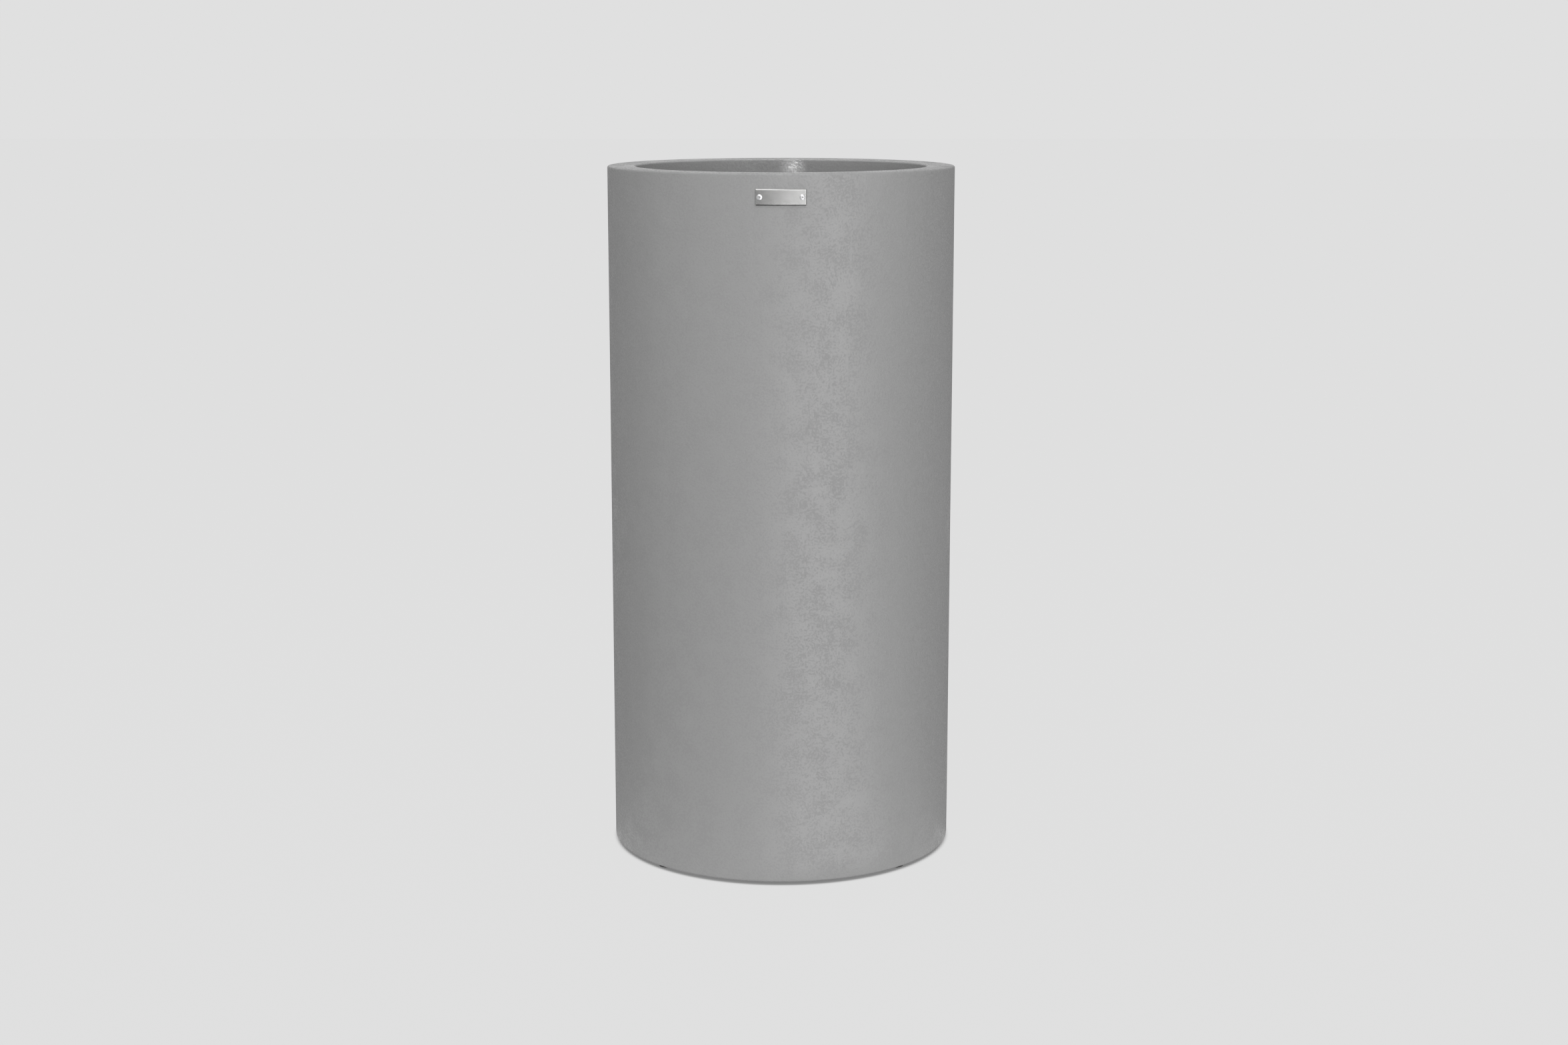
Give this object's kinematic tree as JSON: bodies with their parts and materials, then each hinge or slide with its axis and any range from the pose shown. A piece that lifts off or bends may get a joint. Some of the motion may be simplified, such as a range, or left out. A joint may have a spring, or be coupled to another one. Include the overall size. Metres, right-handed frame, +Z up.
{
  "type": "tall cylindrical planter",
  "caption": "Tall straight cylindrical glass-fibre floor planter with a flat inward rim, a foot turned inwards, a raised floor with a plugged drain, rubber pads and a blank riveted metal plate.",
  "frame": {"origin": "centre of the planter's circular footprint, on the ground", "axes": "+Z up along the cylinder's axis, out of the mouth; the metal plate faces -Y; +X is to the right seen from the plate's side"},
  "size_m": [0.5, 0.5022, 1],
  "materials": {
    "grey_gelcoat": "satin",
    "raw_laminate": "matte",
    "bonding_paste": "matte",
    "black_rubber": "matte",
    "brushed_stainless": "satin",
    "aluminium_rivet": "satin",
    "mandrel_steel": "matte"
  },
  "bodies": {
    "vessel": {"cylinder_wall": "grey_gelcoat", "rim_ring": "grey_gelcoat", "rim_bond": "bonding_paste", "floor_disc": "raw_laminate", "floor_bond": "raw_laminate", "foot_pads": "black_rubber", "badge_plate": "brushed_stainless", "badge_rivets": "aluminium_rivet", "rivet_mandrels": "mandrel_steel"},
    "plug": {"drain_plug": "black_rubber"}
  },
  "joints": [
    {"name": "plug_pull", "type": "slide", "parent": "vessel", "child": "plug", "axis": [0, 0, 1], "range_m": [0, 1]}
  ]
}
